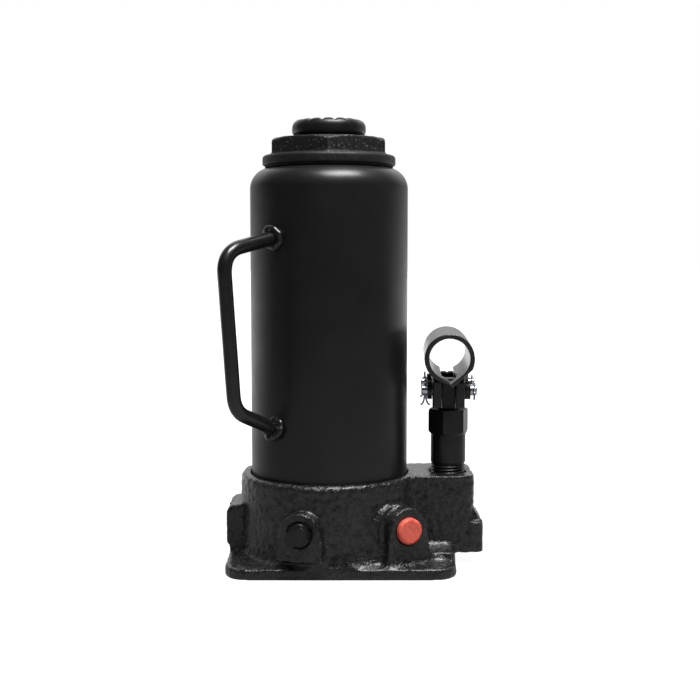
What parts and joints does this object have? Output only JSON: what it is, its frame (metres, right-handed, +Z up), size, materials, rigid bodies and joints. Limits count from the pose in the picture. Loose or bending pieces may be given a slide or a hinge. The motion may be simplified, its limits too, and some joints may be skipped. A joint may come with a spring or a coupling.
{
  "type": "bottle jack",
  "caption": "Upright hydraulic bottle jack with a cast base, side pump, extension screw, carry handle and release valve.",
  "frame": {"origin": "on the ram's axis at the underside of the base, where the jack stands", "axes": "+Z up along the ram's axis; +X towards the pump; -Y towards the side with the release and safety valves"},
  "size_m": [0.1323, 0.1078, 0.2272],
  "materials": {
    "cast_black": "gloss black paint over a rough casting",
    "tube_black": "satin black paint",
    "nut_black": "black paint over rough forged steel",
    "saddle_black": "satin black paint over forged steel",
    "rod_black": "gloss black paint",
    "pump_black": "semi-gloss black",
    "socket_black": "semi-gloss black, worn inside",
    "turned_steel": "turned",
    "ground_steel": "ground and polished",
    "spring_steel": "drawn wire",
    "zinc": "bright zinc plating",
    "ball_steel": "polished",
    "copper": "soft copper",
    "brass_mesh": "woven mesh",
    "seal_rubber": "matt",
    "red_cap": "matt moulded"
  },
  "bodies": {
    "base": {"base_casting": "cast_black", "reservoir_tube": "tube_black", "pressure_cylinder": "turned_steel", "top_nut": "nut_black", "ram_wiper": "seal_rubber", "reservoir_top_gasket": "seal_rubber", "reservoir_bottom_gasket": "seal_rubber", "cylinder_gasket": "copper", "carry_handle": "rod_black", "handle_welds": "rod_black", "oil_filler_plug": "seal_rubber", "pump_cylinder": "pump_black", "pump_cylinder_washer": "copper", "pump_gland_seal": "seal_rubber", "suction_strainer": "brass_mesh", "suction_passage_plug": "turned_steel", "delivery_valve_plug": "pump_black", "delivery_spring": "spring_steel", "safety_adjusting_screw": "turned_steel", "safety_spring": "spring_steel", "safety_cap": "red_cap", "link_pin": "zinc", "link_split_pins": "zinc"},
    "ram": {"ram": "ground_steel", "piston_cup": "seal_rubber", "cup_retainer": "turned_steel"},
    "stop_ring": {"screw_stop_ring": "spring_steel"},
    "extension_screw": {"extension_screw": "saddle_black"},
    "plunger": {"pump_plunger": "ground_steel", "plunger_seal": "seal_rubber"},
    "socket": {"handle_socket": "socket_black", "plunger_pin": "zinc", "fulcrum_pin": "zinc", "pin_washers": "pump_black", "split_pins": "zinc"},
    "link": {"fulcrum_link": "pump_black"},
    "release_seal": {"release_o_ring": "seal_rubber"},
    "release_valve": {"release_valve": "pump_black"},
    "release_ball": {"release_ball": "ball_steel"},
    "suction_ball": {"suction_ball": "ball_steel"},
    "delivery_ball": {"delivery_ball": "ball_steel"},
    "safety_ball": {"safety_ball": "ball_steel"}
  },
  "joints": [
    {"name": "ram_lift", "type": "slide", "parent": "base", "child": "ram", "axis": [0, 0, 1], "range_m": [0, 0.155]},
    {"name": "screw_rise", "type": "slide", "parent": "ram", "child": "stop_ring", "axis": [0, 0, 1], "range_m": [0, 0.0801]},
    {"name": "screw_turn", "type": "hinge", "parent": "stop_ring", "child": "extension_screw", "pos_m": [0, 0, 0.218], "axis": [0, 0, 1], "range_deg": [0, 5760]},
    {"name": "plunger_stroke", "type": "slide", "parent": "base", "child": "plunger", "axis": [0, 0, 1], "range_m": [0, 0.0146]},
    {"name": "handle_swing", "type": "hinge", "parent": "plunger", "child": "socket", "pos_m": [0.0623, 0, 0.088], "axis": [-0.9986, 0.0523, 0], "range_deg": [0, 36]},
    {"name": "link_swing", "type": "hinge", "parent": "base", "child": "link", "pos_m": [0.06359, 0.02457, 0.036], "axis": [0.9986, -0.0523, 0], "range_deg": [0, 4.3]},
    {"name": "release_shift", "type": "slide", "parent": "base", "child": "release_seal", "axis": [-0.2689, -0.9632, 0], "range_m": [0, 0.00226]},
    {"name": "release_turn", "type": "hinge", "parent": "release_seal", "child": "release_valve", "pos_m": [-0.0121, -0.04334, 0.023], "axis": [-0.2689, -0.9632, 0], "range_deg": [0, 540]},
    {"name": "release_ball_lift", "type": "slide", "parent": "base", "child": "release_ball", "axis": [-0.2689, -0.9632, 0], "range_m": [0, 0.0018]},
    {"name": "suction_ball_lift", "type": "slide", "parent": "base", "child": "suction_ball", "axis": [0, 0, 1], "range_m": [0, 0.0015]},
    {"name": "delivery_ball_lift", "type": "slide", "parent": "base", "child": "delivery_ball", "axis": [-1, 0, 0], "range_m": [0, 0.0012], "stiffness_N_per_m": 400, "springref_m": -0.003, "deforming": ["delivery_spring"]},
    {"name": "safety_ball_lift", "type": "slide", "parent": "base", "child": "safety_ball", "axis": [0.4695, -0.8829, 0], "range_m": [0, 0.001], "stiffness_N_per_m": 4000, "springref_m": -0.004, "deforming": ["safety_spring"]}
  ],
  "couplings": [
    {"joint": "screw_rise", "follows": "screw_turn", "m_per_rad": 0.00079577},
    {"joint": "plunger_stroke", "follows": "handle_swing", "m_per_rad": 0.023},
    {"joint": "link_swing", "follows": "handle_swing", "ratio": 0.1175},
    {"joint": "release_shift", "follows": "release_turn", "m_per_rad": 0.00023873},
    {"joint": "release_ball_lift", "follows": "release_turn", "m_per_rad": 0.00019}
  ]
}
